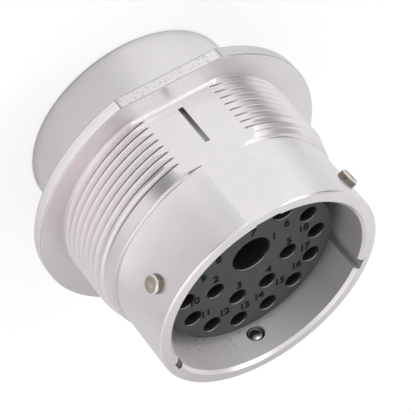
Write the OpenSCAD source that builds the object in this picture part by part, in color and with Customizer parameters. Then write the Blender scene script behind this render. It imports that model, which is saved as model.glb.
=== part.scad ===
// Bulkhead receptacle of a heavy-duty circular connector with a three-pin bayonet coupling.
// Axis along Z, mating side up. The origin lies on the axis in the front face of the
// flange, which is the face that seats on the panel. Clock angles are read clockwise
// from the flats, as seen from the mating side. Millimetres.

/* [Shell] */
// Outside diameter of the mating barrel
barrel_d = 40; // [38:0.25:41]
// Wall of the mating barrel
barrel_wall = 2.4; // [2:0.1:3]
// Length from the panel face of the flange to the rim
nose_len = 26; // [24:0.5:34]
// Width and height of the chamfer at the mouth of the barrel
mouth_chamfer = 0.5; // [0.2:0.1:0.8]
// Radius on the outer edge of the rim
rim_round = 0.4; // [0.2:0.1:0.8]
// Outside diameter of the rear barrel
rear_d = 37.3; // [36.5:0.1:40]
// Length of the rear barrel behind the flange
rear_len = 13.05; // [11:0.25:20]
// Wall of the rear barrel
rear_wall = 1.75; // [1.4:0.05:2]
// Radius on the end of the rear barrel
rear_round = 0.6; // [0.2:0.1:0.8]
// Depth from the rim to the floor of the mating annulus
annulus_depth = 12.5; // [10:0.5:13]
// Thickness of the inner rib that the insert seats on
rib_t = 2; // [1.5:0.1:3]

/* [Panel thread] */
// Major diameter of the panel thread, 1 11/16-18 UNEF
thread_d = 42.86; // [42:0.01:44]
// Pitch of the panel thread
thread_pitch = 1.411; // [1:0.001:1.6]
// Length of the full thread in front of the flange
thread_len = 9.6; // [8:0.1:11]
// Length of the lead-in cone, where the thread runs out in front
lead_len = 3.3; // [1.5:0.1:4]
// Width of the flats at the crest and the root of the thread, as a share of its pitch
thread_flat = 0.125; // [0.05:0.005:0.2]

/* [Flats] */
// Depth of the flat that runs along the barrel and the thread
barrel_flat = 0.3; // [0.2:0.05:0.6]
// Radius in the corner where that flat meets the flange
flat_fillet = 0.7; // [0.3:0.1:1]
// Width of the index slot in the flat
slot_w = 0.9; // [0.5:0.05:1.5]
// Length of the index slot
slot_len = 7.85; // [4:0.05:9]
// Distance from the flange to the slot
slot_start = 1.7; // [1.2:0.1:3]
// Depth of the index slot
slot_depth = 0.9; // [0.3:0.1:1]

/* [Flange] */
// Diameter of the flange
flange_d = 51.3; // [50:0.1:56]
// Thickness of the flange
flange_t = 2.25; // [1.5:0.05:4]
// Depth of the flat on the flange edge
flange_flat = 1.65; // [0.5:0.05:2]
// Chamfer on the edges of the flange
flange_chamfer = 0.2; // [0.1:0.05:0.5]

/* [Keyways] */
// Width of the master keyway
master_w = 4.25; // [3:0.05:5]
// Depth of the master keyway in the barrel wall
master_depth = 0.7; // [0.4:0.05:1]
// Width of the two minor keyways
minor_w = 2; // [1.5:0.05:3]
// Depth of the minor keyways in the barrel wall
minor_depth = 1; // [0.4:0.05:1.2]
// Clock angle of the minor keyways, one on each side
minor_clock = 111; // [90:1:130]

/* [Bayonet pins] */
// Diameter of a bayonet pin
pin_d = 3.1; // [2.5:0.05:4]
// Height of a pin above the barrel
pin_stand = 1.05; // [0.8:0.05:1.2]
// Distance from the rim to the pin axis
pin_back = 4.7; // [4:0.1:6]
// Clock angle of the first pin, with the rest at a third of a turn
pin_clock = 60; // [55:1:65]

// Chamfer around the tip of a pin
pin_chamfer = 0.3; // [0.1:0.05:0.5]
// Depth in the wall, from inside, where the dome of a pin starts
pin_sink = 0.9; // [0.5:0.05:1.4]
// Height of the dome on the inner end of a pin
pin_dome = 0.65; // [0.1:0.05:0.8]

/* [Insert] */
// Diameter of the insert boss
boss_d = 30.2; // [29.5:0.1:31]
// Depth of the insert face below the rim
face_recess = 5.1; // [3:0.1:7]
// Chamfer around the insert face
boss_chamfer = 0.25; // [0.1:0.05:0.5]
// Thickness of the front insert behind the rib
front_shoulder = 6; // [5.5:0.1:6.5]
// Thickness of the rear insert
rear_insert_t = 9.5; // [8:0.1:10]
// Depth of the clip pockets in the front insert
pocket_depth = 5; // [4:0.1:5.2]
// Depth of the grommet below the rear end of the shell
grommet_recess = 2.5; // [1:0.1:3]

// Chamfer around the rear of the grommet
grommet_chamfer = 0.4; // [0.2:0.1:1]
// Number of sealing webs in a wire hole
web_count = 3; // [2:1:4]
// Width of a wire hole at a web, as a share of the cavity behind it
web_share = 0.72; // [0.6:0.02:0.85]

/* [Cavities] */
// Entry diameter of the signal cavities
signal_d = 3.1; // [2.6:0.05:3.3]
// Entry diameter of the three medium power cavities
medium_d = 4.45; // [3.8:0.05:4.6]
// Entry diameter of the main power cavity
power_d = 6.85; // [6:0.05:7.2]
// Distance of the main power cavity from the axis
power_r = 3.55; // [3.2:0.05:3.9]
// Pitch radius of the outer ring of cavities
ring_r = 12.1; // [11.8:0.05:12.2]
// Angle between the signal cavities of the outer ring
signal_step = 26.4; // [26:0.1:27]
// Angle between the medium power cavities
medium_step = 30.9; // [30:0.1:32]
// Distance of cavities 2 and 5 from the axis
wide_r = 6.82; // [6.6:0.02:7]
// Clock angle of cavity 5, with cavity 2 on the other side
wide_clock = 98.3; // [96:0.1:100]
// Distance of cavities 3 and 4 from the axis
low_r = 6.35; // [6.2:0.05:6.5]
// Clock angle of cavity 4, with cavity 3 on the other side
low_clock = 153.8; // [152:0.1:156]
// Extra diameter of a signal cavity behind its clip
signal_extra_d = 0.6; // [0.5:0.05:0.7]
// Extra diameter of a medium cavity behind its clip
medium_extra_d = 0.65; // [0.5:0.05:0.8]
// Extra diameter of the main power cavity behind its clip
power_extra_d = 0.75; // [0.5:0.05:0.9]
// Chamfer at the mouth of a cavity
cavity_chamfer = 0.2; // [0.1:0.05:0.3]

/* [Retention] */
// Sheet thickness of a retention clip
clip_t = 0.25; // [0.15:0.05:0.3]
// Number of spring tines on a clip
tine_count = 4; // [3:1:4]
// Share of a clip's length that is plain band
band_share = 0.35; // [0.25:0.05:0.5]
// Width by which the tips of the tines lean in
lean_w = 0.3; // [0.2:0.05:0.4]
// Width of the slots between the tines
tine_slot = 0.5; // [0.3:0.1:0.8]
// Thickness of the snap ring behind the rear insert
ring_t = 1.2; // [0.8:0.1:1.6]
// Depth of the snap ring in its groove
ring_grip = 0.6; // [0.4:0.05:0.8]
// Width of the mouth of the snap ring
ring_mouth = 6; // [4:0.5:8]
// How far the snap ring stands out of its groove
ring_lip = 1.4; // [0.8:0.1:1.6]

/* [Clearances] */
// Radial clearance of the insert in the shell
insert_gap = 0.15; // [0.05:0.05:0.25]
// Radial clearance of pressed and clipped pieces
press_gap = 0.02; // [0.01:0.01:0.03]
// End clearance of the clips and the snap ring
end_gap = 0.1; // [0.05:0.05:0.15]

/* [Hidden] */
$fn = 96;
cut = 1;
barrel_r = barrel_d / 2;
bore_r = barrel_r - barrel_wall;
rear_r = rear_d / 2;
rear_bore_r = rear_r - rear_wall;
thread_r = thread_d / 2;
// Each flank of the thread falls from the crest flat to the root flat at half of 60 degrees
flank_angle = 30;
flank_w = thread_pitch * (1 - 2 * thread_flat) / 2;
root_r = thread_r - flank_w / tan(flank_angle);
flange_r = flange_d / 2;
boss_r = boss_d / 2;
rib_r = boss_r + insert_gap;
flat_y = barrel_r - barrel_flat;

rim_z = nose_len;
lead_end_z = thread_len + lead_len;
// Grooves of the thread, up to the middle of the lead-in cone
groove_count = floor((thread_len + lead_len / 2) / thread_pitch + 0.5);
step_round = root_r - barrel_r;
annulus_z = rim_z - annulus_depth;
rib_z = annulus_z - rib_t;
rear_z = -flange_t - rear_len;
pin_z = rim_z - pin_back;

face_z = rim_z - face_recess;
split_z = rib_z - front_shoulder;
insert_back_z = split_z - rear_insert_t;
insert_r = rear_bore_r - insert_gap;
ring_z = insert_back_z - ring_t;
neck_z = ring_z - end_gap;
grommet_z = rear_z + grommet_recess;
ring_outer_r = rear_bore_r + ring_grip;
ring_inner_r = rear_bore_r - ring_lip;
neck_r = ring_inner_r - end_gap;

pin_r = pin_d / 2;
pin_hole_r = pin_r + press_gap;

cavity_count = 18;
// Cavities 6 to 8 are the medium ones, and the outer ring starts with them
ring_first = 6;
medium_last = 8;
ring_signals = cavity_count - medium_last;

SIGNAL = 0;
MEDIUM = 1;
POWER = 2;
entry_d = [signal_d, medium_d, power_d];
body_extra_d = [signal_extra_d, medium_extra_d, power_extra_d];

arc_steps = 4;
pin_angles = [pin_clock, pin_clock + 120, pin_clock + 240];

// Points of an arc around a centre, from one angle to another
function arc(x, y, r, from, to) = [
    for (i = [0:arc_steps])
        let (a = from + (to - from) * i / arc_steps)
        [x + r * cos(a), y + r * sin(a)]
];

// Place of a point at a radius and a clock angle
function on_clock(r, clock) = [-r * sin(clock), -r * cos(clock), 0];

function ring_clock(n) =
    n <= medium_last
        ? medium_step * (ring_first + 1 - n)
        : signal_step * ((ring_signals - 1) / 2 - (n - medium_last - 1)) - 180;

function cavity_at(n) =
    n == 1 ? on_clock(power_r, 0)
    : n == 2 ? on_clock(wide_r, -wide_clock)
    : n == 3 ? on_clock(low_r, -low_clock)
    : n == 4 ? on_clock(low_r, low_clock)
    : n == 5 ? on_clock(wide_r, wide_clock)
    : on_clock(ring_r, ring_clock(n));

function cavity_size(n) =
    n == 1 ? POWER
    : n >= ring_first && n <= medium_last ? MEDIUM
    : SIGNAL;

function entry_r(size) = entry_d[size] / 2;
function body_r(size) = entry_r(size) + body_extra_d[size] / 2;
function clip_outer_r(size) = body_r(size) + clip_t;
function pocket_r(size) = clip_outer_r(size) + press_gap;

// Turns what points at 12 o'clock to a clock angle
module at_clock(clock) {
    rotate([0, 0, -clock]) children();
}

// A cylinder between two heights
module drum(r, bottom, top) {
    translate([0, 0, bottom]) cylinder(r = r, h = top - bottom);
}

// Turned outside of the shell, from the rear end to the rim
module shell_blank() {
    c = flange_chamfer;
    outline = concat(
        [[0, rear_z]],
        arc(rear_r - rear_round, rear_z + rear_round, rear_round, -90, 0),
        [[rear_r, -flange_t], [flange_r - c, -flange_t]],
        [[flange_r, c - flange_t], [flange_r, -c], [flange_r - c, 0]],
        [[thread_r, 0], [thread_r, thread_len]],
        arc(root_r, lead_end_z + step_round, step_round, -90, -180),
        arc(barrel_r - rim_round, rim_z - rim_round, rim_round, 0, 90),
        [[0, rim_z]]
    );
    rotate_extrude() polygon(outline);
}

// Groove of the thread form, a ring for each turn, with a full crest beside the flange
module thread_groove(turn) {
    root_half = thread_flat * thread_pitch / 2;
    middle = (turn + 0.5) * thread_pitch + root_half;
    open_r = thread_r + root_half;
    open_half = root_half + (open_r - root_r) * tan(flank_angle);
    rotate_extrude()
        polygon([
            [root_r, middle - root_half],
            [root_r, middle + root_half],
            [open_r, middle + open_half],
            [open_r, middle - open_half]
        ]);
}

// Bores, inner rib and snap ring groove
module shell_bores() {
    drum(bore_r, annulus_z, rim_z + cut);
    translate([0, 0, rim_z - mouth_chamfer])
        cylinder(r1 = bore_r, r2 = bore_r + mouth_chamfer + cut, h = mouth_chamfer + cut);
    drum(rib_r, rib_z - cut, annulus_z + cut);
    drum(rear_bore_r, rear_z - cut, rib_z);
    drum(ring_outer_r + end_gap, ring_z - end_gap, insert_back_z + end_gap);
}

// Slot in the barrel wall that guides a key of the mating shell
module keyway(clock, width, depth) {
    at_clock(clock)
        translate([-width / 2, -bore_r - depth, annulus_z])
            cube([width, depth + cut, annulus_depth + cut]);
}

// What the cutter takes off for the long flat, with a round corner at the flange
module flat_cutter() {
    outer = thread_r + cut;
    side = concat(
        [[flat_y, rim_z + cut]],
        arc(flat_y + flat_fillet, flat_fillet, flat_fillet, 180, 270),
        [[outer, 0], [outer, rim_z + cut]]
    );
    translate([outer, 0, 0])
        rotate([90, 0, -90])
            linear_extrude(2 * outer) polygon(side);
}

module index_slot() {
    translate([-slot_w / 2, -flat_y - cut, slot_start])
        cube([slot_w, slot_depth + cut, slot_len]);
}

// Hole for a bayonet pin, right through the wall
module pin_hole(clock) {
    at_clock(clock)
        translate([0, 0, pin_z])
            rotate([90, 0, 0]) drum(pin_hole_r, bore_r - cut, barrel_r + cut);
}

module shell() {
    color("gainsboro")
        difference() {
            shell_blank();
            shell_bores();
            for (turn = [0:groove_count - 1]) thread_groove(turn);
            keyway(0, master_w, master_depth);
            keyway(minor_clock, minor_w, minor_depth);
            keyway(-minor_clock, minor_w, minor_depth);
            flat_cutter();
            index_slot();
            translate([-flange_r, -flange_r - cut, -flange_t - cut])
                cube([flange_d, flange_flat + cut, flange_t + cut]);
            for (clock = pin_angles) pin_hole(clock);
        }
}

// Steel stud with a chamfered tip and a domed inner end
module bayonet_pin(clock) {
    base = bore_r + pin_sink;
    tip = barrel_r + pin_stand;
    outline = concat(
        [[0, tip], [pin_r - pin_chamfer, tip], [pin_r, tip - pin_chamfer]],
        [for (p = arc(0, 0, 1, 0, -90)) [pin_r * p[0], base + pin_dome * p[1]]]
    );
    color("darkkhaki")
        at_clock(clock)
            translate([0, 0, pin_z])
                rotate([90, 0, 0])
                    rotate_extrude() polygon(outline);
}

// Hard insert half with the free-standing boss, which seats on the inner rib
module front_insert() {
    color("darkslategray")
        difference() {
            union() {
                drum(boss_r, split_z, face_z - boss_chamfer);
                translate([0, 0, face_z - boss_chamfer])
                    cylinder(r1 = boss_r, r2 = boss_r - boss_chamfer, h = boss_chamfer);
                drum(insert_r, split_z, rib_z);
            }
            for (n = [1:cavity_count]) translate(cavity_at(n)) front_cavity(cavity_size(n));
        }
}

// Chamfered entry and, behind it, the pocket for the retention clip
module front_cavity(size) {
    r = entry_r(size);
    drum(r, split_z - cut, face_z + cut);
    translate([0, 0, face_z - cavity_chamfer])
        cylinder(r1 = r, r2 = r + cavity_chamfer + cut, h = cavity_chamfer + cut);
    drum(pocket_r(size), split_z - cut, split_z + pocket_depth);
}

// Hard insert half that closes the clip pockets from behind
module rear_insert() {
    color("darkslategray")
        difference() {
            drum(insert_r, insert_back_z, split_z);
            for (n = [1:cavity_count])
                translate(cavity_at(n)) drum(body_r(cavity_size(n)), insert_back_z - cut, split_z + cut);
        }
}

// Open ring that locks the insert stack in the rear bore
module snap_ring() {
    color("silver")
        difference() {
            drum(ring_outer_r, ring_z, insert_back_z);
            drum(ring_inner_r, ring_z - cut, insert_back_z + cut);
            translate([-ring_mouth / 2, 0, ring_z - cut])
                cube([ring_mouth, flange_r, ring_t + 2 * cut]);
        }
}

// Soft seal behind the rear insert, necked where the snap ring runs
module wire_grommet() {
    r = insert_r;
    c = grommet_chamfer;
    outline = [
        [0, grommet_z], [r - c, grommet_z], [r, grommet_z + c],
        [r, neck_z], [neck_r, neck_z], [neck_r, insert_back_z], [0, insert_back_z]
    ];
    color("dimgray")
        difference() {
            rotate_extrude() polygon(outline);
            for (n = [1:cavity_count]) translate(cavity_at(n)) wire_hole(body_r(cavity_size(n)));
        }
}

// Wire hole that narrows at each sealing web
module wire_hole(r) {
    web_r = r * web_share;
    pitch = (insert_back_z - grommet_z) / web_count;
    for (i = [0:web_count - 1]) {
        bottom = grommet_z + i * pitch;
        translate([0, 0, bottom])
            cylinder(r1 = web_r, r2 = r, h = pitch / 2);
        translate([0, 0, bottom + pitch / 2])
            cylinder(r1 = r, r2 = web_r, h = pitch / 2);
    }
    drum(web_r, grommet_z - cut, insert_back_z + cut);
}

// Split spring sleeve with tines that lean in to hold the contact's shoulder
module retention_clip(n) {
    size = cavity_size(n);
    outer = clip_outer_r(size);
    bottom = split_z + end_gap;
    top = split_z + pocket_depth - end_gap;
    waist = bottom + (top - bottom) * band_share;
    lean = lean_w;
    color("goldenrod")
        translate(cavity_at(n))
            difference() {
                union() {
                    drum(outer, bottom, waist);
                    translate([0, 0, waist])
                        cylinder(r1 = outer, r2 = outer - lean, h = top - waist);
                }
                drum(outer - clip_t, bottom - cut, waist);
                translate([0, 0, waist])
                    cylinder(r1 = outer - clip_t, r2 = outer - clip_t - lean, h = top - waist);
                drum(outer - clip_t - lean, bottom - cut, top + cut);
                for (i = [0:tine_count - 1])
                    rotate([0, 0, i * 360 / tine_count])
                        translate([0, -tine_slot / 2, waist])
                            cube([outer + cut, tine_slot, top - waist + cut]);
                translate([0, -tine_slot / 2, bottom - cut])
                    cube([outer + cut, tine_slot, top - bottom + 2 * cut]);
            }
}

shell();
front_insert();
rear_insert();
snap_ring();
wire_grommet();
for (i = [1:3])
    bayonet_pin(pin_angles[i - 1]);
for (n = [1:cavity_count])
    retention_clip(n);
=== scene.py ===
import math

import bpy
from mathutils import Matrix, Vector


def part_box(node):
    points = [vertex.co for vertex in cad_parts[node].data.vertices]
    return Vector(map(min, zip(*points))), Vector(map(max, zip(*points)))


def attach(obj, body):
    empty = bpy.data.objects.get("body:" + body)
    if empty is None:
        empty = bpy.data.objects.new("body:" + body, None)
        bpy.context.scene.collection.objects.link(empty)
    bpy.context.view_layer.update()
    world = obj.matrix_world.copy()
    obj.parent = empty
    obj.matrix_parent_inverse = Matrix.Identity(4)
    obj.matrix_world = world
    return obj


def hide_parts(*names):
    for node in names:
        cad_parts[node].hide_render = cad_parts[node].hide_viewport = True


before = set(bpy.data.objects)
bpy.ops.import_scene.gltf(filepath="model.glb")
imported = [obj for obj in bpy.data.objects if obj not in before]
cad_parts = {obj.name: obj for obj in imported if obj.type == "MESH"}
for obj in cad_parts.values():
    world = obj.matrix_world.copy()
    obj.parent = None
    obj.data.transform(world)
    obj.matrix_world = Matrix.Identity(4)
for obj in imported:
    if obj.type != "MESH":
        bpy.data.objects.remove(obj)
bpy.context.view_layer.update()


# Turned blank of the shell. The real one is a single piece of aluminium bar: rear barrel,
# flange, thread land and mating barrel outside, rear bore, insert rib and annulus inside.
# A lathe cuts it, so the outline is drawn once in radius and height and swept round Z.
MM = 0.001
WELD = 2e-6
ROUND_STEPS = 240


def heights(node):
    """Lowest and highest point of a solid of the frame, in millimetres."""
    return [round(corner.z / MM, 3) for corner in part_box(node)]


rear_z, rim_z = heights("shell")
ring_z, insert_back_z = heights("snap_ring")
end_gap = 0.1
barrel_r, barrel_wall, rim_round, mouth_chamfer = 20.0, 2.4, 0.4, 0.5
bore_r = barrel_r - barrel_wall
rear_r, rear_wall, rear_round, rear_chamfer = 18.65, 1.75, 0.6, 0.3
rear_bore_r = rear_r - rear_wall
flange_r, flange_t, flange_round, heel_fillet = 25.65, 2.25, 0.2, 0.3
thread_r, thread_pitch, thread_len, lead_len = 21.43, 1.411, 9.6, 3.3
thread_flat, flank_angle = 0.125, math.radians(30)
flank_w = thread_pitch * (1 - 2 * thread_flat) / 2
root_r = thread_r - flank_w / math.tan(flank_angle)
step_round = root_r - barrel_r
lead_end_z = thread_len + lead_len
annulus_z, floor_fillet = 13.5, 0.3
rib_z, rib_r, rib_chamfer = 11.5, 15.25, 0.2
groove_r = 17.6


def arc(r, z, radius, start, end, steps=6):
    """Points of a round corner, as (radius, height), from one angle to another."""
    angles = [math.radians(start + (end - start) * i / steps) for i in range(steps + 1)]
    return [(r + radius * math.cos(a), z + radius * math.sin(a)) for a in angles]


def pick(*pieces):
    """Selects these pieces and nothing else, with the first one active."""
    bpy.ops.object.select_all(action="DESELECT")
    for piece in pieces:
        piece.select_set(True)
    if pieces:
        bpy.context.view_layer.objects.active = pieces[0]


def draw(name, points):
    """A closed wire through points given as (radius, height), left in edit mode."""
    pick()
    bpy.ops.mesh.primitive_plane_add(size=MM)
    piece = bpy.context.object
    piece.name = piece.data.name = name
    bpy.ops.object.mode_set(mode="EDIT")
    bpy.ops.mesh.select_all(action="SELECT")
    bpy.ops.mesh.merge(type="CENTER")
    here = Vector((0, 0, 0))
    for i, (r, z) in enumerate(points + points[:1]):
        there = Vector((r, 0, z)) * MM
        if i == 0:
            bpy.ops.transform.translate(value=there - here)
        else:
            bpy.ops.mesh.extrude_region_move(TRANSFORM_OT_translate={"value": there - here})
        here = there
    bpy.ops.mesh.select_all(action="SELECT")
    bpy.ops.mesh.remove_doubles(threshold=WELD)
    return piece


def turn(name, points, steps=ROUND_STEPS):
    """A solid of revolution from a closed outline."""
    piece = draw(name, points)
    bpy.ops.mesh.spin(steps=steps, angle=2 * math.pi, center=(0, 0, 0), axis=(0, 0, 1))
    bpy.ops.mesh.select_all(action="SELECT")
    bpy.ops.mesh.remove_doubles(threshold=WELD)
    bpy.ops.mesh.normals_make_consistent(inside=False)
    bpy.ops.object.mode_set(mode="OBJECT")
    return piece


shell_outline = (
    arc(rear_r - rear_round, rear_z + rear_round, rear_round, -90, 0)
    + arc(rear_r + heel_fillet, -flange_t - heel_fillet, heel_fillet, 180, 90, 4)
    + arc(flange_r - flange_round, -flange_t + flange_round, flange_round, -90, 0, 4)
    + arc(flange_r - flange_round, -flange_round, flange_round, 0, 90, 4)
    + [(thread_r, 0), (thread_r, thread_len)]
    + arc(root_r, lead_end_z + step_round, step_round, -90, -180)
    + arc(barrel_r - rim_round, rim_z - rim_round, rim_round, 0, 90)
    + [(bore_r + mouth_chamfer, rim_z), (bore_r, rim_z - mouth_chamfer)]
    + arc(bore_r - floor_fillet, annulus_z + floor_fillet, floor_fillet, 0, -90, 4)
    + [(rib_r + rib_chamfer, annulus_z), (rib_r, annulus_z - rib_chamfer), (rib_r, rib_z)]
    + [(rear_bore_r, rib_z), (rear_bore_r, insert_back_z + end_gap)]
    + [(groove_r, insert_back_z + end_gap), (groove_r, ring_z - end_gap)]
    + [(rear_bore_r, ring_z - end_gap)]
    + [(rear_bore_r, rear_z + rear_chamfer), (rear_bore_r + rear_chamfer, rear_z)]
)
shell = turn("threaded_shell", shell_outline)


# Panel thread, cut in the same bar. A single-point tool leaves a right-handed helical
# groove from the flange into the lead-in cone, and draws out at both ends. Here the
# tool's 60 degree section is swept as a screw and taken away from the blank.
START_Z, START_CLOCK, THREAD_TURNS = 0.66, 29.9, 8.3
FADE_IN, FADE_OUT = ROUND_STEPS // 8, 1.4 * ROUND_STEPS
THREAD_STEPS = FADE_IN + round(THREAD_TURNS * ROUND_STEPS)
root_lift, crest_over, tool_back, tool_clear = 0.02, 0.05, 0.5, 0.1


def to_clock(piece, clock):
    """Turns what was made on the X axis to a clock angle, with the flats at 12."""
    pick(piece)
    piece.rotation_euler.z = math.radians(-90 - clock)
    bpy.ops.object.transform_apply(location=True, rotation=True, scale=True)


def apply_modifier(piece, name):
    """Makes a modifier part of the piece's mesh."""
    pick(piece)
    bpy.ops.object.modifier_apply(modifier=name)


def cut(piece, tool):
    """Takes a tool's solid away from a piece, and the tool with it."""
    away = piece.modifiers.new("cut", "BOOLEAN")
    away.operation, away.solver, away.object = "DIFFERENCE", "EXACT", tool
    apply_modifier(piece, "cut")
    bpy.data.objects.remove(tool)


root_half = thread_flat * thread_pitch / 2
crest_half = root_half + (thread_r - root_r + crest_over) * math.tan(flank_angle)
rise = thread_pitch / ROUND_STEPS
entry_z = START_Z - rise * FADE_IN
tool_section = [
    (root_r + root_lift, entry_z - root_half),
    (thread_r + crest_over, entry_z - crest_half),
    (thread_r + tool_back, entry_z - crest_half),
    (thread_r + tool_back, entry_z + crest_half),
    (thread_r + crest_over, entry_z + crest_half),
    (root_r + root_lift, entry_z + root_half),
]
groove = draw("groove_tool", tool_section)
bpy.ops.object.mode_set(mode="OBJECT")
sweep = groove.modifiers.new("helix", "SCREW")
sweep.angle = 2 * math.pi * THREAD_STEPS / ROUND_STEPS
sweep.screw_offset = rise * THREAD_STEPS * MM
sweep.steps = sweep.render_steps = THREAD_STEPS
sweep.use_smooth_shade = False
apply_modifier(groove, "helix")
bpy.ops.object.mode_set(mode="EDIT")
bpy.ops.mesh.select_all(action="DESELECT")
bpy.ops.mesh.select_mode(type="EDGE")
bpy.ops.mesh.select_non_manifold()
bpy.ops.mesh.fill_holes(sides=0)
bpy.ops.mesh.select_all(action="SELECT")
bpy.ops.mesh.normals_make_consistent(inside=False)
bpy.ops.mesh.select_mode(type="VERT")
bpy.ops.object.mode_set(mode="OBJECT")

# The tool goes in steeply on a level path and comes out slowly at the front
draw_out = thread_r - root_r + tool_clear
corners = len(tool_section)
for i in range(THREAD_STEPS + 1):
    early = max(1 - i / FADE_IN, 0)
    late = max(1 - (THREAD_STEPS - i) / FADE_OUT, 0)
    out = 1 + (early ** 2 + late ** 8) * draw_out / thread_r
    for vertex in groove.data.vertices[i * corners:(i + 1) * corners]:
        vertex.co.x, vertex.co.y = vertex.co.x * out, vertex.co.y * out
        vertex.co.z += early * rise * FADE_IN * MM
to_clock(groove, START_CLOCK + 360 * FADE_IN / ROUND_STEPS)
cut(shell, groove)


# Flats, slot, keyways and pin holes, milled and drilled after turning. The long flat
# stops the shell turning in its panel, the slot indexes it, the keyways guide the plug.
flat_y, flat_fillet, flange_flat_y = 19.7, 0.7, 24.0
slot_w, slot_start, slot_len, slot_depth = 0.9, 1.7, 7.85, 0.9
slot_end = slot_start + slot_len
MASTER_KEYWAY, MINOR_KEYWAY, MINOR_CLOCK = (4.25, 0.7), (2.0, 1.0), 111
keyway_lift = 0.02
PIN_CLOCKS = (60, 180, 300)
pin_r, pin_back, pin_gap, drill_len = 1.55, 4.7, 0.02, 6
DRILL_STEPS = 48
pin_z = rim_z - pin_back
beyond = 1.0
mill_w = 2 * (flange_r + beyond)


def mill(name, points, width, clock):
    """A cutter with this section, as wide as asked, centred on a clock angle."""
    tool = draw(name, points)
    bpy.ops.transform.translate(value=(0, -width / 2 * MM, 0))
    bpy.ops.mesh.edge_face_add()
    bpy.ops.mesh.extrude_region_move(TRANSFORM_OT_translate={"value": (0, width * MM, 0)})
    bpy.ops.mesh.select_all(action="SELECT")
    bpy.ops.mesh.normals_make_consistent(inside=False)
    bpy.ops.object.mode_set(mode="OBJECT")
    to_clock(tool, clock)
    return tool


flat_section = (
    [(flat_y, rim_z + beyond)]
    + arc(flat_y + flat_fillet, flat_fillet, flat_fillet, 180, 270, 8)
    + [(thread_r + beyond, 0), (thread_r + beyond, rim_z + beyond)]
)
cut(shell, mill("flat_tool", flat_section, mill_w, 0))
flange_flat_section = [
    (flange_flat_y, -flange_t - beyond),
    (flange_r + beyond, -flange_t - beyond),
    (flange_r + beyond, beyond),
    (flange_flat_y, beyond),
]
cut(shell, mill("flange_flat_tool", flange_flat_section, mill_w, 0))
slot_section = [
    (flat_y - slot_depth, slot_start),
    (flat_y + beyond, slot_start),
    (flat_y + beyond, slot_end),
    (flat_y - slot_depth, slot_end),
]
cut(shell, mill("slot_tool", slot_section, slot_w, 0))
for clock, (width, depth) in (
    (0, MASTER_KEYWAY), (MINOR_CLOCK, MINOR_KEYWAY), (-MINOR_CLOCK, MINOR_KEYWAY),
):
    keyway_section = [
        (bore_r - beyond, annulus_z + keyway_lift),
        (bore_r + depth, annulus_z + keyway_lift),
        (bore_r + depth, rim_z + beyond),
        (bore_r - beyond, rim_z + beyond),
    ]
    cut(shell, mill("keyway_tool", keyway_section, width, clock))
for clock in PIN_CLOCKS:
    pick()
    bpy.ops.mesh.primitive_cylinder_add(
        vertices=DRILL_STEPS, radius=(pin_r + pin_gap) * MM, depth=drill_len * MM,
        location=((barrel_r - 1) * MM, 0, pin_z * MM), rotation=(0, math.pi / 2, 0))
    drill = bpy.context.object
    bpy.ops.object.transform_apply(location=True, rotation=True, scale=True)
    to_clock(drill, clock)
    cut(shell, drill)


# Finish of the shell: aluminium with a fine satin plating over turned lines that run
# round the axis. The annulus is duller. Painted shade darkens the thread roots, the slot,
# one keyway and some edges, with specks of dirt in the bore.
class Socket:
    """Wraps a shader socket or a number, so that maths on it adds the nodes."""

    def __init__(self, maker, value):
        self.maker, self.value = maker, value

    def math(self, operation, *others, clamp=False):
        return self.maker.node(
            "ShaderNodeMath", {"operation": operation, "use_clamp": clamp},
            dict(enumerate((self, *others))))

    def __add__(self, other):
        return self.math("ADD", other)

    def __sub__(self, other):
        return self.math("SUBTRACT", other)

    def __mul__(self, other):
        return self.math("MULTIPLY", other)

    def __truediv__(self, other):
        return self.math("DIVIDE", other)

    def __pow__(self, other):
        return self.math("POWER", other)

    def __rsub__(self, other):
        return self * -1 + other

    __radd__, __rmul__ = __add__, __mul__

    def beside(self, name):
        """Another output of the same node."""
        return Socket(self.maker, self.value.node.outputs[name])

    def above(self, edge, soft):
        """0 below the edge and 1 above it, blended over the soft width."""
        return ((self - edge) / soft).math("ADD", 0.5, clamp=True)

    def past(self, edge, soft):
        """The same for a place, with the edge and the soft width in millimetres."""
        return self.above(edge * MM, soft * MM)

    def between(self, low, high, soft):
        """1 from the low edge to the high one, all three in millimetres."""
        return self.past(low, soft) * (1 - self.past(high, soft))


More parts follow.
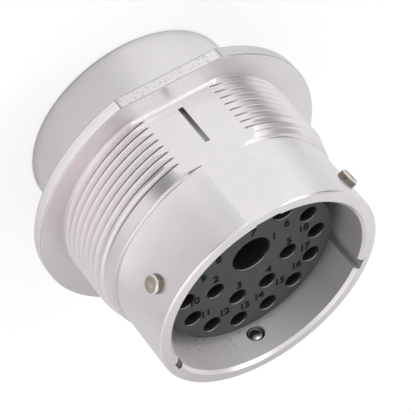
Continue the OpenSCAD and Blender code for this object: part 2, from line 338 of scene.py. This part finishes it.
class Finish:
    """A material in the making."""

    def __init__(self, name):
        self.material = bpy.data.materials.new(name)
        self.material.use_nodes = True
        self.tree = self.material.node_tree
        self.tree.nodes.clear()
        self.place = self.node("ShaderNodeTexCoord", {}, {}, "Object")
        self.x, self.y, self.z = self.split(self.place)
        self.radius = (self.x * self.x + self.y * self.y) ** 0.5

    def node(self, kind, settings, inputs, output=0):
        """Adds a node with its settings and the values or links of its inputs."""
        made = self.tree.nodes.new(kind)
        for key, value in settings.items():
            setattr(made, key, value)
        for key, value in inputs.items():
            value = getattr(value, "value", value)
            into = made.inputs[key]
            if isinstance(value, bpy.types.NodeSocket):
                self.tree.links.new(value, into)
            elif into.type == "RGBA":
                into.default_value = (*value, 1)
            else:
                into.default_value = value
        return Socket(self, made.outputs[output]) if made.outputs else None

    def split(self, vector):
        x = self.node("ShaderNodeSeparateXYZ", {}, {0: vector})
        return x, x.beside(1), x.beside(2)

    def vector(self, x, y, z):
        return self.node("ShaderNodeCombineXYZ", {}, {0: x, 1: y, 2: z})

    def facing(self):
        """How far the surface faces along X, Y and Z."""
        return self.split(self.node("ShaderNodeTexCoord", {}, {}, "Normal"))

    def noise(self, vector, scale, detail=2.0):
        return self.node(
            "ShaderNodeTexNoise", {"noise_dimensions": "3D"},
            {"Vector": vector, "Scale": scale, "Detail": detail, "Roughness": 0.5})

    def mix(self, factor, first, second):
        return self.node(
            "ShaderNodeMix", {"data_type": "RGBA"}, {0: factor, 6: first, 7: second}, 2)

    def bump(self, height, distance):
        return self.node("ShaderNodeBump", {}, {"Height": height, "Distance": distance})

    def finish(self, **sockets):
        """Closes the material with these sockets of its surface."""
        surface = self.node("ShaderNodeBsdfPrincipled", {}, {
            name.replace("_", " "): value for name, value in sockets.items()})
        self.node("ShaderNodeOutputMaterial", {}, {"Surface": surface})
        return self.material


metal = Finish("satin_aluminium")
turned_lines = metal.noise(metal.vector(metal.radius, metal.z, 0.0), 9000.0, 3.0)
grain = metal.noise(metal.place, 4000.0)
patches = metal.noise(metal.place, 420.0, 3.0)
broad = metal.noise(metal.place, 120.0, 3.0)
level = metal.facing()[2].above(0.9, 0.1)
across = metal.x.math("ABSOLUTE")
off_flat = metal.y.past(0.05 - flat_y, 0.04)
to_left = metal.x.past(10, 12)

# The annulus and the bore inside the rim, with a little of its chamfer
deep = 1 - metal.radius.past(bore_r + 1.15, 0.1)
chamfer_z = rim_z - mouth_chamfer
inside = deep * (
    metal.z.between(annulus_z - 0.3, chamfer_z, 0.08)
    + metal.z.between(chamfer_z, rim_z - 0.06, 0.08) * 0.25)
shaded_side = inside * (metal.x * -1).past(5, 15)
specks = metal.noise(metal.place, 1300.0).above(0.67, 0.04) * inside
specks = specks * (1 - metal.z.past(22, 3))

# Painted shade in the thread roots, darkest near the flat, and at the step where the lead-in cone
# ends
roots = metal.radius.between(root_r - 0.3, root_r + 0.13, 0.08) * off_flat
roots = roots * metal.z.between(0.1, thread_len + 1.4, 0.1)
roots = roots * ((metal.y * -1).past(12, 10) * 0.7 + 0.3)
lead_step = metal.z.between(lead_end_z - 0.05, lead_end_z + 0.25, 0.06)
lead_step = lead_step * metal.x.between(3.4, 5.7, 0.5) * metal.y.math("LESS_THAN", 0.0)
# Painted shade on the fillet where the lead-in cone ends, towards +X
fillet = metal.z.between(lead_end_z - 0.02, lead_end_z + step_round, 0.08)
fillet = fillet * (1 - deep) * to_left
worn = metal.z.between(0.1, thread_len, 0.1) * metal.x.past(14.5, 8)

# Painted shade in the index slot, darker towards the flange, and on the keyway whose end shows at
# the rim
slot = across.between(-1, slot_w / 2 + 0.01, 0.02)
slot = slot * metal.y.between(0.08 - flat_y, -17, 0.04)
slot = slot * metal.z.between(slot_start - 0.1, slot_end + 0.1, 0.05)
slot = slot * (1 - metal.z.past(6, 4) * 0.4)
key_turn = math.radians(MINOR_CLOCK - 90)
key_side = metal.y * math.cos(key_turn) - metal.x * math.sin(key_turn)
key_wall = key_side.between(-1.02, 1.02, 0.02) * metal.x.past(0, 1)
key_wall = key_wall * metal.radius.between(bore_r + 0.04, bore_r + 1.03, 0.03)
key_wall = key_wall * metal.z.between(rim_z - 1.6, rim_z - 0.01, 0.02)

# Flange: painted dark lines of shade and reflection at its edges and the rear barrel's end, dark
# dashes on the flat, painted shade on the face and one side, flecks on its own flat and painted
# shade at the two corners beside that
edges = metal.radius.past(23.4, 0.3) * (
    metal.z.between(-0.2, -0.04, 0.06)
    + metal.z.between(0.04 - flange_t, 0.2 - flange_t, 0.06))
# Painted dark reflection along the rounded end of the rear barrel
heel = 1 - metal.z.past(rear_z + 0.36, 0.16)
# Dark dashes painted across the flat near the flange
dashes = (metal.x * 9000).math("SINE").above(-0.2, 0.8) * (1 - off_flat)
dark_dashes = dashes * (
    metal.z.between(0.6, 0.72, 0.05)
    + metal.z.between(1.88, 1.98, 0.05) * metal.x.past(1, 0.2))
# Painted shade on the level faces, deeper towards +X and +Y
painted_face_shade = level * (metal.y * 0.8 + metal.x * 0.4).past(6, 26)
# Painted shade on the flange's round side, towards -X
painted_side_shade = metal.radius.past(25.5, 0.04) * (1 - level) * (metal.x * -1).past(0, 4)
flecks = metal.noise(metal.place, 1700.0, 3.0) * (1 - metal.y.past(0.07 - flange_flat_y, 0.02))
flecks = flecks.above(0.6, 0.1)
# Painted shade at the corners where the flange's flat meets its round side
painted_corner_shade = across.between(8.88, 9.2, 0.1) * (1 - metal.y.past(-23, 1))
painted_corner_shade = painted_corner_shade * (1 - level) * metal.radius.past(25.3, 0.1)

# Painted shade, specks of dirt and flecks, taken together as one darkening of the colour
shade_and_dirt = roots * 0.75
for mask, depth in (
    (slot, 0.72), (lead_step, 0.7), (painted_face_shade, 0.34), (painted_side_shade, 0.22),
    (shaded_side, 0.62), (specks, 0.5), (flecks, 0.25), (key_wall, 0.75),
    (painted_corner_shade, 0.55), (fillet, 0.2), (edges, 0.45), (heel, 0.65), (dark_dashes, 0.4),
):
    shade_and_dirt = shade_and_dirt.math("MAXIMUM", mask * depth)

cool, warm, blush = (0.80, 0.785, 0.81), (0.96, 0.925, 0.935), (0.96, 0.85, 0.88)
# Colour of the painted shade and the dirt
shade_and_dirt_colour = (0.10, 0.095, 0.10)
tint = metal.mix(broad * 0.55 + patches * 0.45, cool, warm)
tint = metal.mix(to_left * broad * 0.5, tint, blush)
shell_metal = metal.finish(
    Base_Color=metal.mix(shade_and_dirt, tint, shade_and_dirt_colour),
    Metallic=1 - inside * 0.65 - shade_and_dirt * 0.3,
    Roughness=broad * 0.08 + 0.2 + inside * 0.25 + level * 0.14 + worn * 0.16,
    Anisotropic=0.6, Anisotropic_Rotation=0.25,
    Normal=metal.bump(turned_lines * 0.7 + grain * 0.3, 0.000004))


SHARP_EDGE = math.radians(25)


def paint(piece, material):
    """Gives a piece this material and no other."""
    piece.data.materials.clear()
    piece.data.materials.append(material)


def round_off(piece):
    """Smooth shading that stops at sharp edges and keeps flat faces flat."""
    pick(piece)
    bpy.ops.object.shade_smooth_by_angle(angle=SHARP_EDGE)
    weigh = piece.modifiers.new("weigh", "WEIGHTED_NORMAL")
    weigh.keep_sharp, weigh.weight = True, 100
    apply_modifier(piece, "weigh")


paint(shell, shell_metal)
round_off(shell)
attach(shell, "root")
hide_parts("shell")


# Front insert: hard dark plastic moulded with its 18 cavities and a boss that stands free
# in the barrel. It drops in from behind and seats on the shell's inner rib. Each cavity
# has a rounded mouth and, behind, a wider pocket for its clip.
split_z, face_z = heights("front_insert")
boss_r, boss_round, insert_r = 15.1, 0.25, 16.75
# Entry diameter, and how much wider the cavity is behind its clip
SIGNAL, MEDIUM, POWER = (3.1, 0.6), (4.45, 0.65), (6.85, 0.75)
clip_room, pocket_depth, lip_round = 0.27, 5, 0.2
ring_r, medium_step, signal_step, ring_signals = 12.1, 30.9, 26.4, 10
medium_clocks = [medium_step * i for i in (1, 0, -1)]
signal_clocks = [signal_step * ((ring_signals - 1) / 2 - i) - 180 for i in range(ring_signals)]
# Distance from the axis, clock angle and size of each cavity, in the order of the numbers
cavities = [(3.55, 0, POWER), (6.82, -98.3, SIGNAL), (6.35, -153.8, SIGNAL),
            (6.35, 153.8, SIGNAL), (6.82, 98.3, SIGNAL)]
cavities += [(ring_r, clock, MEDIUM) for clock in medium_clocks]
cavities += [(ring_r, clock, SIGNAL) for clock in signal_clocks]
INSERT_STEPS, HOLE_STEPS = 180, 64

insert_outline = [
    (0.0, split_z), (insert_r, split_z), (insert_r, rib_z), (boss_r, rib_z),
    *arc(boss_r - boss_round, face_z - boss_round, boss_round, 0, 90, 4), (0.0, face_z)]
insert = turn("front_insert_moulding", insert_outline, INSERT_STEPS)


def on_clock(r, clock):
    """Place of a point at a radius and a clock angle."""
    angle = math.radians(clock)
    return Vector((-r * math.sin(angle), -r * math.cos(angle), 0)) * MM


def drilled(piece, section):
    """Cuts a hole at each cavity, with the outline that the section gives for its size."""
    tools = []
    for r, clock, size in cavities:
        tool = turn("hole_tool", section(size), HOLE_STEPS)
        tool.location = on_clock(r, clock)
        tools.append(tool)
    pick(*tools)
    bpy.ops.object.transform_apply(location=True, rotation=True, scale=True)
    bpy.ops.object.join()
    cut(piece, tools[0])


def entry(size):
    """Outline of a cavity with its clip pocket, from the split to the face."""
    entry_d, extra = size
    entry_r, pocket_r = entry_d / 2, (entry_d + extra) / 2 + clip_room
    lip_r = entry_r + lip_round
    return [(0, split_z - beyond), (pocket_r, split_z - beyond),
            (pocket_r, split_z + pocket_depth), (entry_r, split_z + pocket_depth),
            *arc(lip_r, face_z - lip_round, lip_round, 180, 90, 4),
            (lip_r, face_z + beyond), (0, face_z + beyond)]


drilled(insert, entry)
plastic = Finish("dark_moulded_plastic")
fine = plastic.noise(plastic.place, 2500.0, 3.0)
cloud = plastic.noise(plastic.place, 160.0)
boss_face = 1 - plastic.radius.past(boss_r - 0.3, 0.1)
# Painted shade down in the cavities, and a painted glint on each cavity's rounded mouth where it
# faces -Y
shadowed = plastic.z.between(split_z - 1, face_z - 0.5, 0.6) * boss_face
lips = plastic.z.between(face_z - 0.2, face_z - 0.04, 0.04) * boss_face
glint = lips * (plastic.facing()[1] * -1).above(0.6, 0.3)
dark_plastic, pale_plastic = (0.030, 0.034, 0.033), (0.042, 0.047, 0.045)
deep_plastic, glint_plastic = (0.008, 0.009, 0.008), (0.34, 0.35, 0.34)
mould_shade_and_glint = plastic.mix(cloud, dark_plastic, pale_plastic)
mould_shade_and_glint = plastic.mix(shadowed, mould_shade_and_glint, deep_plastic)
mould_shade_and_glint = plastic.mix(glint, mould_shade_and_glint, glint_plastic)
insert_plastic = plastic.finish(
    Base_Color=mould_shade_and_glint, Roughness=fine * 0.12 + 0.48, Normal=plastic.bump(fine, 0.000012))
paint(insert, insert_plastic)
round_off(insert)
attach(insert, "root")
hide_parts("front_insert")


# Cavity numbers, moulded on the insert's face beside the cavities in the same plastic.
# They stand a tenth of a millimetre proud and read upright when the flats are on top.
digit_h, digit_proud, digit_bold, digit_spacing = 2.25, 0.1, 0.012, 0.85
numbers = [(4.19, 5.17), (-6.55, 2.2), (-2.46, -2.68), (3.03, -2.76), (6.93, 1.75),
           (6.6, 6.64), (0.52, 8.89), (-5.9, 6.8), (-8.75, 4.1), (-10.47, -0.64),
           (-8.75, -5.3), (-5.21, -7.64), (-1.49, -8.94), (1.22, -8.42), (5.19, -7.56),
           (8.41, -5.62), (10.05, -2.05), (9.82, 3.08)]
digits = []
for n, (right_of, up_from) in enumerate(numbers, 1):
    pick()
    bpy.ops.object.text_add(rotation=(0, 0, math.pi))
    font = bpy.context.object.data
    font.body = str(n)
    font.size, font.extrude, font.offset = digit_h * MM, digit_proud * MM, digit_bold * MM
    font.space_character = digit_spacing
    font.align_x, font.align_y = "CENTER", "CENTER"
    font.resolution_u = 4
    bpy.ops.object.convert(target="MESH")
    bpy.ops.object.origin_set(type="ORIGIN_GEOMETRY", center="BOUNDS")
    digit = bpy.context.object
    digit.location = (-right_of * MM, -up_from * MM, face_z * MM)
    digits.append(digit)
pick(*digits)
bpy.ops.object.join()
labels = bpy.context.object
bpy.ops.object.transform_apply(location=True, rotation=True, scale=True)
labels.name = labels.data.name = "cavity_numbers"
# Painted shade: the numbers are coloured far darker than the plastic they are moulded in
shaded_numbers = Finish("shaded_number_plastic")
shaded_number_plastic = shaded_numbers.finish(
    Base_Color=shaded_numbers.mix(shaded_numbers.noise(shaded_numbers.place, 900.0), (0.004, 0.005, 0.005), (0.009, 0.010, 0.010)),
    Roughness=0.7, Specular_IOR_Level=0.15)
paint(labels, shaded_number_plastic)
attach(labels, "root")


# Retention clips: split sleeves of spring brass sheet with tines that lean in. Each is
# snapped into its pocket in the insert and keeps the solid's own shape. Only the look of
# plain rolled brass is added here.
brass = Finish("clip_brass")
wear = brass.noise(brass.place, 700.0, 3.0)
clip_metal = brass.finish(
    Base_Color=brass.mix(wear, (0.50, 0.36, 0.16), (0.62, 0.47, 0.24)),
    Metallic=1.0, Roughness=wear * 0.15 + 0.3, Normal=brass.bump(wear, 0.000006))
for n in range(1, len(cavities) + 1):
    paint(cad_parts[f"retention_clip_{n}"], clip_metal)


# Bayonet pins: three plain steel studs, turned with a chamfered and dimpled tip and a
# domed inner end. They sit in holes drilled through the barrel wall.
STUD_STEPS, DOME_STEPS = 64, 8
pin_base, pin_tip, pin_dome, pin_chamfer = bore_r + 0.9, barrel_r + 1.05, 0.85, 0.3
dimple_depth, dimple_in, dimple_out = 0.05, 0.5, 0.62
steel = Finish("pin_steel")
turning = steel.noise(steel.place, 1500.0, 3.0)
# Painted light and shade on the dome's inner end: a bright centre for its highlight and a dark
# ring round it
dome_colour = steel.mix(
    steel.radius.past(pin_base - 0.6, 0.25), (0.8, 0.79, 0.76), (0.05, 0.045, 0.04))
tip_colour = steel.mix(turning, (0.42, 0.37, 0.30), (0.53, 0.47, 0.40))
# Painted shade on the shank below the tip, and a painted highlight on the ring of the tip's
# chamfer
stud_colour = steel.mix(
    steel.radius.past(pin_tip - 0.35, 0.3), (0.24, 0.21, 0.17), tip_colour)
stud_colour = steel.mix(
    steel.radius.between(pin_tip - 0.35, pin_tip - 0.07, 0.08), stud_colour,
    (0.85, 0.82, 0.78))
pin_steel = steel.finish(
    Base_Color=steel.mix(steel.radius.past(pin_base, 0.2), dome_colour, stud_colour),
    Metallic=1.0, Roughness=turning * 0.15 + steel.radius.past(pin_base, 1) * 0.2 + 0.13,
    Normal=steel.bump(turning, 0.00001))
dome_angles = [math.pi / 2 * j / DOME_STEPS for j in range(DOME_STEPS)]
dome = [(pin_r * math.cos(a), pin_base - pin_dome * math.sin(a)) for a in dome_angles]
stud_outline = [
    (0.0, pin_tip - dimple_depth), (dimple_in, pin_tip - dimple_depth),
    (dimple_out, pin_tip), (pin_r - pin_chamfer, pin_tip), (pin_r, pin_tip - pin_chamfer),
    *dome, (0.0, pin_base - pin_dome)]
for i, clock in enumerate(PIN_CLOCKS, 1):
    stud = turn(f"bayonet_stud_{i}", stud_outline, STUD_STEPS)
    stud.rotation_euler = (0, math.pi / 2, 0)
    stud.location = (0, 0, pin_z * MM)
    bpy.ops.object.transform_apply(location=True, rotation=True, scale=True)
    to_clock(stud, clock)
    paint(stud, pin_steel)
    round_off(stud)
    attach(stud, "root")
    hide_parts(f"bayonet_pin_{i}")


# Rear insert and snap ring. The insert half is moulded in the front one's plastic and
# closes its pockets; the open ring is stamped from spring steel and locks the stack in
# its groove. Both keep the solid's own shape.
paint(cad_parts["rear_insert"], insert_plastic)
spring = Finish("spring_steel")
brushed = spring.noise(spring.vector(spring.radius, spring.z, 0.0), 5000.0)
ring_steel = spring.finish(
    Base_Color=spring.mix(brushed, (0.42, 0.42, 0.43), (0.55, 0.55, 0.56)),
    Metallic=1.0, Roughness=brushed * 0.12 + 0.25, Normal=spring.bump(brushed, 0.000004))
paint(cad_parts["snap_ring"], ring_steel)


# Wire grommet: a soft rubber disc, moulded with a webbed hole for each wire. It lies
# behind the rear insert, and its neck passes through the snap ring.
grommet_z = heights("wire_grommet")[0]
neck_z, neck_r, grommet_round = ring_z - end_gap, 15.4, 0.4
web_count, web_share, web_flare = 3, 0.72, 0.25
web_pitch = (insert_back_z - grommet_z) / web_count
grommet_outline = [
    (0.0, grommet_z),
    *arc(insert_r - grommet_round, grommet_z + grommet_round, grommet_round, -90, 0),
    (insert_r, neck_z), (neck_r, neck_z), (neck_r, insert_back_z), (0.0, insert_back_z)]
grommet = turn("wire_seal_grommet", grommet_outline, INSERT_STEPS)


def wire_hole(size):
    """Outline of a wire hole that narrows at each sealing web."""
    entry_d, extra = size
    r = (entry_d + extra) / 2
    web_r = r * web_share
    wall = [(web_r + web_flare, grommet_z - beyond), (web_r + web_flare, grommet_z),
            (web_r, grommet_z + web_flare)]
    for i in range(web_count):
        wall += [(r, grommet_z + (i + 0.5) * web_pitch), (web_r, grommet_z + (i + 1) * web_pitch)]
    return [(0, grommet_z - beyond), *wall, (web_r, insert_back_z + beyond),
            (0, insert_back_z + beyond)]


drilled(grommet, wire_hole)
rubber = Finish("grommet_rubber")
skin = rubber.noise(rubber.place, 1800.0, 3.0)
bloom = rubber.noise(rubber.place, 200.0)
grommet_rubber = rubber.finish(
    Base_Color=rubber.mix(bloom, (0.020, 0.020, 0.021), (0.034, 0.034, 0.036)),
    Roughness=skin * 0.15 + 0.6, Normal=rubber.bump(skin, 0.00002))
paint(grommet, grommet_rubber)
round_off(grommet)
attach(grommet, "root")
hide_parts("wire_grommet")


# Floor: plain white paper under the connector, which the camera sees evenly white. What
# the metal mirrors of it changes with direction and distance, as it would with dark and
# bright cards laid round the object.
FLOOR_SIZE, SEEN, BETWEEN_CARDS = 6, 0.70, 0.48
pick()
bpy.ops.mesh.primitive_plane_add(size=FLOOR_SIZE, location=(0, 0, rear_z * MM))
floor = bpy.context.object
floor.name = "floor"
paper = Finish("pale_floor")
azimuth = paper.x.math("ARCTAN2", paper.y * -1)


def card(middle, half, soft, near, far, edge):
    """1 on a wedge of the floor: azimuths in degrees, distances in metres."""
    off = (azimuth - math.radians(middle)).math("ABSOLUTE")
    side = (math.radians(half) - off).above(0.0, math.radians(soft))
    return side * paper.radius.above(near, edge) * (1 - paper.radius.above(far, edge))


mirrored = BETWEEN_CARDS
# Middle and half width, softness, nearest and farthest distance, its softness, brightness
for middle, half, soft, near, far, edge, value in (
    (-38, 32, 24, 0.0, 9, 0.06, 0.57),
    (10, 5, 8, 0.067, 9, 0.006, 0.37),
    (125, 58, 40, 0.0, 9, 0.06, 0.34),
    (92, 86, 20, 0.0, 0.043, 0.006, 0.35),
    (68, 52, 30, 0.0645, 0.2, 0.003, 0.26),
    (62, 52, 25, 0.047, 0.0635, 0.003, 0.9),
    (-80, 8, 10, 0.045, 0.064, 0.004, 0.32),
    (35, 11, 14, 0.22, 9, 0.06, 0.0),
    (-78, 13, 9, 0.105, 9, 0.02, 0.0),
    (-47, 8, 8, 0.13, 9, 0.06, 1.1),
):
    laid = card(middle, half, soft, near, far, edge)
    mirrored = mirrored * (1 - laid) + laid * value
# Painted shadow: what the metal mirrors of the floor right under the connector is half as bright
contact_r, contact_soft = 0.0195, 0.002
mirrored = mirrored * (paper.radius.above(contact_r, contact_soft) * 0.5 + 0.5)
camera_ray = paper.node("ShaderNodeLightPath", {}, {}, "Is Camera Ray")
bright_ray = camera_ray + camera_ray.beside("Is Glossy Ray")
bright_ray = bright_ray + camera_ray.beside("Is Transmission Ray")
glow = paper.node("ShaderNodeEmission", {}, {
    "Color": camera_ray * SEEN + (1 - camera_ray) * mirrored, "Strength": 1.0})
seen_paper = paper.node("ShaderNodeBsdfDiffuse", {}, {"Color": (0.35, 0.35, 0.35)})
lit_paper = paper.node("ShaderNodeBsdfDiffuse", {}, {"Color": (0.8, 0.8, 0.8)})
seen_floor = paper.node("ShaderNodeAddShader", {}, {0: seen_paper, 1: glow})
surface = paper.node("ShaderNodeMixShader", {}, {
    0: bright_ray.math("MINIMUM", 1.0), 1: lit_paper, 2: seen_floor})
paper.node("ShaderNodeOutputMaterial", {}, {"Surface": surface})
paint(floor, paper.material)


# Tent: a white cloth tent over the table, lit from outside. It has bright windows and
# dark gaps, which give the metal its bands of light and dark.
OPEN_SKY, TENT_WHITE = 0.76, (1.0, 0.99, 1.0)
world = bpy.data.worlds.new("studio")
bpy.context.scene.world = world
world.use_nodes = True


class Tent(Finish):
    """The world's shader, built in the same way as a material."""

    def __init__(self, tree):
        self.tree = tree
        self.tree.nodes.clear()
        self.way = self.node("ShaderNodeTexCoord", {}, {}, "Generated")

    def patch(self, towards, angle, soft):
        """1 within the angle of a direction, 0 outside, with a soft edge in degrees."""
        aim = tuple(Vector(towards).normalized())
        near = self.node(
            "ShaderNodeVectorMath", {"operation": "DOT_PRODUCT"}, {0: self.way, 1: aim}, "Value")
        off = near.math("ARCCOSINE")
        return (math.radians(angle) - off).above(0.0, math.radians(soft))


tent = Tent(world.node_tree)
sky = OPEN_SKY
# Direction, half width and softness in degrees, brightness
for towards, angle, soft, value in (
    ((-0.694, 0.135, 0.707), 8, 5, 0.12),
    ((-0.573, 0.02, 0.82), 4, 4, 1.1),
    ((-0.79, 0.42, 0.44), 12, 10, 0.9),
    ((0.55, -0.82, 0.12), 12, 9, 0.04),
    ((-0.96, -0.22, 0.05), 12, 8, 0.05),
    ((-0.73, -0.67, 0.05), 8, 6, 1.5),
    ((-0.12, -0.84, 0.523), 30, 16, 0.9),
    ((0.80, -0.25, 0.56), 31, 14, 1.2),
    ((0.332, 0.332, 0.883), 24, 12, 1.0),
    ((-0.11, -0.94, 0.29), 5, 2, 9.0),
):
    spot = tent.patch(towards, angle, soft)
    sky = sky * (1 - spot) + spot * value
red, green, blue = TENT_WHITE
cloth = tent.vector(sky * red, sky * green, sky * blue)
backlight = tent.node("ShaderNodeBackground", {}, {"Color": cloth, "Strength": 1.0})
tent.node("ShaderNodeOutputWorld", {}, {"Surface": backlight})


# Key lamp: a square soft box, 0.3 m wide, higher than the camera and on its right-hand
# side. It adds a little direct light to the tent's.
key_place, key_aim = Vector((-0.385, -0.245, 0.525)), Vector((0, 0, 0.01))
key_lamp = bpy.data.lights.new("key", "AREA")
key_lamp.shape, key_lamp.size, key_lamp.energy = "SQUARE", 0.3, 0.5
key = bpy.data.objects.new("key", key_lamp)
bpy.context.scene.collection.objects.link(key)
key.location = key_place
key.rotation_euler = (key_aim - key_place).to_track_quat("-Z", "Y").to_euler()


# Camera: a long lens on the mating side, turned so that the axis runs down to the right.
# Its own right, up and back directions are given in the frame's axes.
view_right = Vector((-0.8404, 0.0363, 0.5407))
view_up = Vector((-0.4499, -0.6028, -0.6590))
view_back = Vector((0.3020, -0.7971, 0.5229))
view_place = Vector((105.8, -280.9, 191.4)) * MM
camera = bpy.data.objects.new("camera", bpy.data.cameras.new("camera"))
bpy.context.scene.collection.objects.link(camera)
stand = Matrix((view_right, view_up, view_back)).transposed().to_4x4()
stand.translation = view_place
camera.matrix_world = stand
camera.data.lens, camera.data.sensor_width = 192.97, 36
camera.data.clip_start = 0.01
bpy.context.scene.camera = camera
bpy.context.scene.view_settings.view_transform = "Standard"
